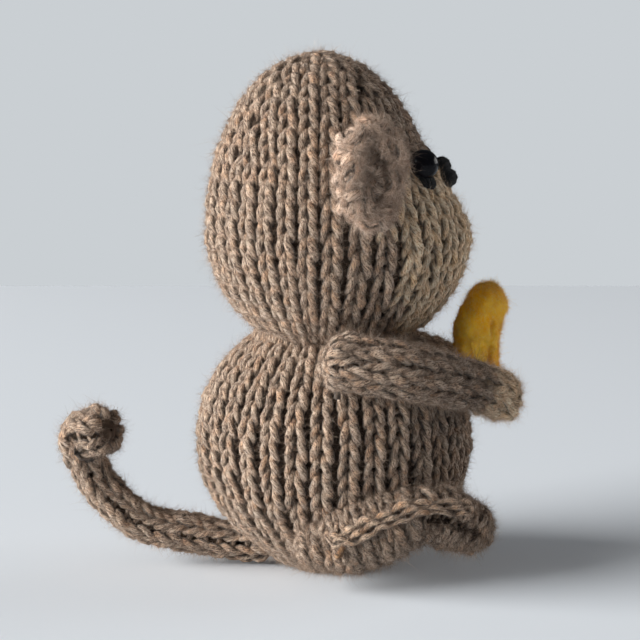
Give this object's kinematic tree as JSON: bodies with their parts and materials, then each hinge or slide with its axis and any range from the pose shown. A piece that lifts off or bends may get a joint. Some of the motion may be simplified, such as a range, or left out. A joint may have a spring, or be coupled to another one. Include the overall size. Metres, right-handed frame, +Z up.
{
  "type": "knitted monkey toy",
  "caption": "Sitting knitted plush monkey with stuffed body and head, cupped ears, bead eyes, sewn-on limbs, a curled tail and a felt banana held in both hands.",
  "frame": {"origin": "middle of the flat seat that the toy sits on", "axes": "+Z up through the crown, -Y the way the face looks, +X the toy's own left side"},
  "size_m": [0.0615, 0.0896, 0.0994],
  "materials": {
    "brown_yarn": "heathered brown wool yarn, knitted",
    "pale_yarn": "heathered beige wool yarn, knitted",
    "black_yarn": "black wool yarn, stitched",
    "yellow_felt": "yellow wool, felted",
    "fibre_fill": "loose white fibre fill",
    "black_bead": "glossy black bead",
    "wire": "thin bendable craft wire"
  },
  "bodies": {
    "torso": {"body_cover": "brown_yarn", "body_stuffing": "fibre_fill", "shoulder_thread_left": "brown_yarn", "shoulder_thread_right": "brown_yarn", "hip_thread_left": "brown_yarn", "hip_thread_right": "brown_yarn"},
    "neck": {"neck_seam": "brown_yarn"},
    "head": {"head_cover": "brown_yarn", "muzzle_panel": "pale_yarn", "head_stuffing": "fibre_fill", "crown_gather": "brown_yarn", "nose_stitches": "black_yarn", "ear_left": "brown_yarn", "ear_right": "brown_yarn", "eye_left": "black_bead", "eye_right": "black_bead", "eye_thread_left": "black_yarn", "eye_thread_right": "black_yarn"},
    "left_arm": {"arm_left": "brown_yarn", "hand_left": "pale_yarn"},
    "right_arm": {"arm_right": "brown_yarn", "hand_right": "pale_yarn"},
    "left_leg": {"leg_left": "brown_yarn", "leg_stuffing_left": "fibre_fill", "leg_seam_left": "brown_yarn"},
    "right_leg": {"leg_right": "brown_yarn", "leg_stuffing_right": "fibre_fill", "leg_seam_right": "brown_yarn"},
    "tail_base": {"tail_lower": "brown_yarn", "tail_wire_lower": "wire"},
    "tail_end": {"tail_upper": "brown_yarn", "tail_wire_upper": "wire"},
    "held_banana": {"banana": "yellow_felt"}
  },
  "joints": [
    {"name": "head_nod", "type": "hinge", "parent": "torso", "child": "neck", "pos_m": [0, 0, 0.038], "axis": [1, 0, 0], "range_deg": [-10, 4]},
    {"name": "head_turn", "type": "hinge", "parent": "neck", "child": "head", "pos_m": [0, 0, 0.038], "axis": [0, 0, 1], "range_deg": [-15, 15]},
    {"name": "left_arm_open", "type": "hinge", "parent": "torso", "child": "left_arm", "pos_m": [0.02597, -0.0005, 0.0408], "axis": [0, 0, 1], "range_deg": [0, 60]},
    {"name": "right_arm_open", "type": "hinge", "parent": "torso", "child": "right_arm", "pos_m": [-0.02486, -0.0005, 0.0428], "axis": [0, 0, -1], "range_deg": [0, 60]},
    {"name": "left_leg_splay", "type": "hinge", "parent": "torso", "child": "left_leg", "pos_m": [0.021, 0.0076, 0.0095], "axis": [0, 0, 1], "range_deg": [0, 40]},
    {"name": "right_leg_splay", "type": "hinge", "parent": "torso", "child": "right_leg", "pos_m": [-0.021, 0.0036, 0.0095], "axis": [0, 0, -1], "range_deg": [0, 40]},
    {"name": "tail_swing", "type": "hinge", "parent": "torso", "child": "tail_base", "pos_m": [0, 0.0206, 0.0049], "axis": [0, 0, 1], "range_deg": [-30, 30]},
    {"name": "tail_bend", "type": "hinge", "parent": "tail_base", "child": "tail_end", "pos_m": [0, 0.0358, 0.0078], "axis": [1, 0, 0], "range_deg": [-20, 20]},
    {"name": "banana_pull", "type": "slide", "parent": "torso", "child": "held_banana", "axis": [0, -0.3419, 0.9397], "range_m": [0, 0.03]}
  ]
}
